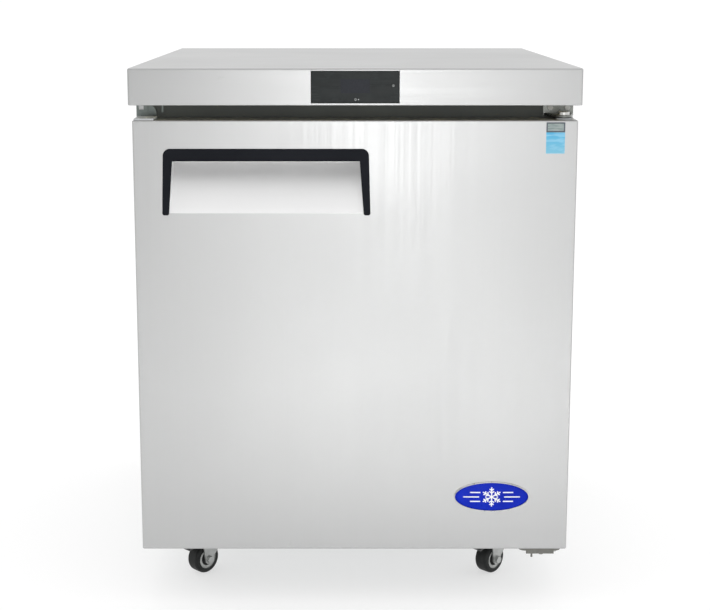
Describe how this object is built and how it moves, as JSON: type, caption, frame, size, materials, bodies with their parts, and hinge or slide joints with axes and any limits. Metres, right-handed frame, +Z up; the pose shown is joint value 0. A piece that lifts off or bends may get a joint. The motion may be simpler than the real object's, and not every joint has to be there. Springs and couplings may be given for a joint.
{
  "type": "undercounter refrigerator",
  "caption": "Stainless undercounter refrigerator on swivel casters, with a self-closing foam-filled door, recessed handle, wire shelves and a rear refrigeration system.",
  "frame": {"origin": "on the floor, under the middle of the worktop", "axes": "+X to the viewer's right facing the door, the door faces -Y, +Z up"},
  "size_m": [0.6984, 0.762, 0.867],
  "materials": {
    "badge_blue": "gloss",
    "board": "satin",
    "caster_steel": "satin",
    "compressor_black": "satin",
    "copper": "satin",
    "dark_plastic": "matte",
    "fan_plastic": "matte",
    "fins": "satin",
    "foam": "matte",
    "galvanised": "satin",
    "gasket": "matte",
    "gloss_black": "gloss",
    "handle_plastic": "matte",
    "key_black": "gloss",
    "label": "satin",
    "liner_metal": "satin",
    "motor_grey": "matte",
    "nylon": "satin",
    "pedal_black": "satin",
    "plated_steel": "polished",
    "stainless": "satin",
    "wheel_rubber": "satin",
    "white_plastic": "gloss",
    "wire_coating": "gloss",
    "zinc_plate": "satin"
  },
  "bodies": {
    "cabinet": {"side_panel_left": "stainless", "side_panel_right": "stainless", "back_panel": "galvanised", "bottom_pan": "galvanised", "insulation": "foam", "inner_liner": "liner_metal", "breaker_frame": "dark_plastic", "worktop": "stainless", "worktop_core": "foam", "top_hinge_bracket": "plated_steel", "hinge_pins": "plated_steel", "bottom_hinge_bracket": "zinc_plate", "reverse_hinge_plate": "galvanised", "display_bezel": "gloss_black", "display_lens": "gloss_black", "control_board": "board", "shelf_pilasters": "plated_steel", "shelf_clips": "plated_steel", "upper_shelf": "wire_coating", "lower_shelf": "wire_coating", "evaporator_coil": "fins", "evaporator_housing": "liner_metal", "evaporator_fan_motor": "motor_grey", "drain_tube": "white_plastic", "compressor": "compressor_black", "condenser_coil": "fins", "condenser_shroud": "galvanised", "condenser_fan_motor": "motor_grey", "refrigerant_lines": "copper", "condensate_pan": "white_plastic", "electrical_box": "galvanised", "cord_gland": "dark_plastic", "rear_grille": "galvanised", "panel_screws": "plated_steel", "mounting_bolts": "zinc_plate", "caster_plates": "caster_steel"},
    "door": {"door_skin": "stainless", "door_liner": "white_plastic", "door_foam": "foam", "door_gasket": "gasket", "handle_trim": "handle_plastic", "handle_scoop": "stainless", "badge": "badge_blue", "rating_label": "label", "hinge_bushes": "nylon", "door_closer": "zinc_plate"},
    "set_key": {"set_key": "key_black"},
    "power_key": {"power_key": "key_black"},
    "evaporator_fan_blade": {"evaporator_fan_blade": "fan_plastic"},
    "condenser_fan_blade": {"condenser_fan_blade": "fan_plastic"},
    "caster_fork_fl": {"caster_fork_fl": "caster_steel"},
    "caster_wheel_fl": {"caster_wheel_fl": "wheel_rubber"},
    "caster_fork_fr": {"caster_fork_fr": "caster_steel"},
    "caster_wheel_fr": {"caster_wheel_fr": "wheel_rubber"},
    "caster_fork_rl": {"caster_fork_rl": "caster_steel"},
    "caster_wheel_rl": {"caster_wheel_rl": "wheel_rubber"},
    "caster_fork_rr": {"caster_fork_rr": "caster_steel"},
    "caster_wheel_rr": {"caster_wheel_rr": "wheel_rubber"},
    "brake_pedal_fl": {"brake_pedal_fl": "pedal_black"},
    "brake_pedal_fr": {"brake_pedal_fr": "pedal_black"}
  },
  "joints": [
    {"name": "door_hinge", "type": "hinge", "parent": "cabinet", "child": "door", "pos_m": [0.325, -0.351, 0.1], "axis": [0, 0, 1], "range_deg": [0, 120], "stiffness_Nm_per_rad": 2, "springref_deg": -8.59},
    {"name": "set_key_press", "type": "slide", "parent": "cabinet", "child": "set_key", "axis": [0, 1, 0], "range_m": [0, 0.0008], "stiffness_N_per_m": 400, "springref_m": -0.0005},
    {"name": "power_key_press", "type": "slide", "parent": "cabinet", "child": "power_key", "axis": [0, 1, 0], "range_m": [0, 0.0008], "stiffness_N_per_m": 400, "springref_m": -0.0005},
    {"name": "evaporator_fan_spin", "type": "hinge", "parent": "cabinet", "child": "evaporator_fan_blade", "pos_m": [0, 0.231, 0.69], "axis": [0, 1, 0], "continuous": true},
    {"name": "condenser_fan_spin", "type": "hinge", "parent": "cabinet", "child": "condenser_fan_blade", "pos_m": [0.17, 0.253, 0.21], "axis": [0, 1, 0], "continuous": true},
    {"name": "swivel_fl", "type": "hinge", "parent": "cabinet", "child": "caster_fork_fl", "pos_m": [-0.246, -0.237, 0.067], "axis": [0, 0, 1], "continuous": true},
    {"name": "roll_fl", "type": "hinge", "parent": "caster_fork_fl", "child": "caster_wheel_fl", "pos_m": [-0.25873, -0.24973, 0.0254], "axis": [0.7071, -0.7071, 0], "continuous": true},
    {"name": "swivel_fr", "type": "hinge", "parent": "cabinet", "child": "caster_fork_fr", "pos_m": [0.246, -0.237, 0.067], "axis": [0, 0, 1], "continuous": true},
    {"name": "roll_fr", "type": "hinge", "parent": "caster_fork_fr", "child": "caster_wheel_fr", "pos_m": [0.23327, -0.24973, 0.0254], "axis": [0.7071, -0.7071, 0], "continuous": true},
    {"name": "swivel_rl", "type": "hinge", "parent": "cabinet", "child": "caster_fork_rl", "pos_m": [-0.246, 0.3, 0.067], "axis": [0, 0, 1], "continuous": true},
    {"name": "roll_rl", "type": "hinge", "parent": "caster_fork_rl", "child": "caster_wheel_rl", "pos_m": [-0.25873, 0.28727, 0.0254], "axis": [0.7071, -0.7071, 0], "continuous": true},
    {"name": "swivel_rr", "type": "hinge", "parent": "cabinet", "child": "caster_fork_rr", "pos_m": [0.246, 0.3, 0.067], "axis": [0, 0, 1], "continuous": true},
    {"name": "roll_rr", "type": "hinge", "parent": "caster_fork_rr", "child": "caster_wheel_rr", "pos_m": [0.23327, 0.28727, 0.0254], "axis": [0.7071, -0.7071, 0], "continuous": true},
    {"name": "brake_fl", "type": "hinge", "parent": "caster_fork_fl", "child": "brake_pedal_fl", "pos_m": [-0.26368, -0.25468, 0.0565], "axis": [0.7071, -0.7071, 0], "range_deg": [0, 14]},
    {"name": "brake_fr", "type": "hinge", "parent": "caster_fork_fr", "child": "brake_pedal_fr", "pos_m": [0.22832, -0.25468, 0.0565], "axis": [0.7071, -0.7071, 0], "range_deg": [0, 14]}
  ]
}
